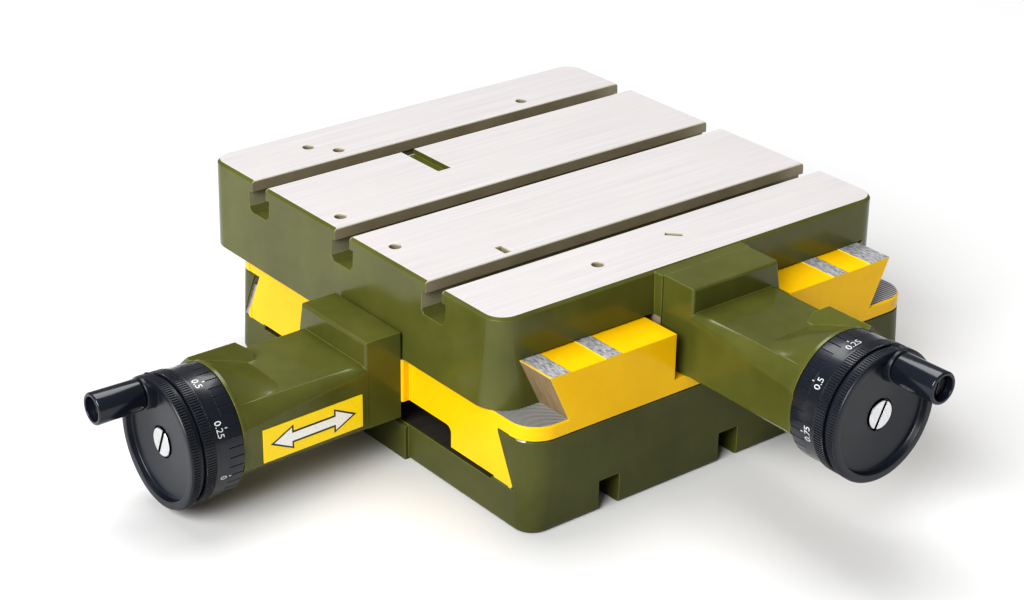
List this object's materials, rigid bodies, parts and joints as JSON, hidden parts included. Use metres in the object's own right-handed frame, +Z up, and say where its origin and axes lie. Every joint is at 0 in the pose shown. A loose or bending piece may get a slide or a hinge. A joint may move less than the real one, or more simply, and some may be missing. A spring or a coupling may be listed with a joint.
{
  "type": "cross slide table",
  "caption": "Compound slide table for drilling and light milling: base, saddle and slotted table on crossed dovetail ways, moved by leadscrews with graduated handwheels.",
  "frame": {"origin": "centre of the base's underside, in the mouth of its middle keyway", "axes": "+Z up; +X along the T-slots, away from the X handwheel; +Y away from the Y handwheel"},
  "size_m": [0.3192, 0.3192, 0.0815],
  "materials": {
    "green_casting": "olive green gloss paint on grey iron; machined ways and table top are bare",
    "yellow_casting": "yellow gloss paint on grey iron; flanks and lands are bare and milled",
    "gib_steel": "ground steel",
    "bronze": "turned bronze",
    "leadscrew_steel": "turned steel",
    "fastener_steel": "bright zinc plated steel",
    "spring_steel": "rolled spring steel",
    "black_plastic": "moulded black plastic, half gloss",
    "yellow_plate": "yellow printed plate, bare of words"
  },
  "bodies": {
    "base": {"base_casting": "green_casting", "lower_gib": "gib_steel", "lower_gib_screws": "fastener_steel", "lower_gib_locknuts": "fastener_steel", "x_leadscrew_nut": "bronze", "x_nut_screws": "fastener_steel"},
    "saddle": {"saddle_casting": "yellow_casting", "y_leadscrew_nut": "bronze", "y_nut_screws": "fastener_steel", "x_bracket": "green_casting", "x_bracket_screws": "fastener_steel", "x_inner_bush": "bronze", "x_outer_bush": "bronze", "x_thrust_washer": "spring_steel", "label_plate": "yellow_plate"},
    "table": {"table_casting": "green_casting", "upper_gib": "gib_steel", "upper_gib_screws": "fastener_steel", "upper_gib_locknuts": "fastener_steel", "y_bracket": "green_casting", "y_bracket_screws": "fastener_steel", "y_inner_bush": "bronze", "y_outer_bush": "bronze", "y_thrust_washer": "spring_steel"},
    "x_handwheel": {"x_leadscrew": "leadscrew_steel", "x_handwheel": "black_plastic", "x_hub_pin": "fastener_steel", "x_wheel_screw": "fastener_steel", "x_dial_spring": "spring_steel", "x_grip_screw": "fastener_steel"},
    "y_handwheel": {"y_leadscrew": "leadscrew_steel", "y_handwheel": "black_plastic", "y_hub_pin": "fastener_steel", "y_wheel_screw": "fastener_steel", "y_dial_spring": "spring_steel", "y_grip_screw": "fastener_steel"},
    "x_dial": {"x_dial": "black_plastic"},
    "y_dial": {"y_dial": "black_plastic"},
    "x_grip": {"x_grip": "black_plastic"},
    "y_grip": {"y_grip": "black_plastic"}
  },
  "joints": [
    {"name": "saddle_slide", "type": "slide", "parent": "base", "child": "saddle", "axis": [1, 0, 0], "range_m": [-0.078, 0.072]},
    {"name": "table_slide", "type": "slide", "parent": "saddle", "child": "table", "axis": [0, 1, 0], "range_m": [-0.093, 0.057]},
    {"name": "x_handwheel_turn", "type": "hinge", "parent": "saddle", "child": "x_handwheel", "pos_m": [-0.19, -0.003, 0.0296], "axis": [1, 0, 0], "range_deg": [-14040, 12960]},
    {"name": "y_handwheel_turn", "type": "hinge", "parent": "table", "child": "y_handwheel", "pos_m": [-0.003, -0.173, 0.0548], "axis": [0, 1, 0], "range_deg": [-16740, 10260]},
    {"name": "x_dial_turn", "type": "hinge", "parent": "x_handwheel", "child": "x_dial", "pos_m": [-0.184, -0.003, 0.0296], "axis": [1, 0, 0], "continuous": true},
    {"name": "y_dial_turn", "type": "hinge", "parent": "y_handwheel", "child": "y_dial", "pos_m": [-0.003, -0.167, 0.0548], "axis": [0, 1, 0], "continuous": true},
    {"name": "x_grip_spin", "type": "hinge", "parent": "x_handwheel", "child": "x_grip", "pos_m": [-0.21, 0.00462, 0.04755], "axis": [1, 0, 0], "continuous": true},
    {"name": "y_grip_spin", "type": "hinge", "parent": "y_handwheel", "child": "y_grip", "pos_m": [0.00139, -0.193, 0.0738], "axis": [0, 1, 0], "continuous": true}
  ],
  "couplings": [
    {"joint": "x_handwheel_turn", "follows": "saddle_slide", "rad_per_m": 3141.6},
    {"joint": "y_handwheel_turn", "follows": "table_slide", "rad_per_m": 3141.6}
  ]
}
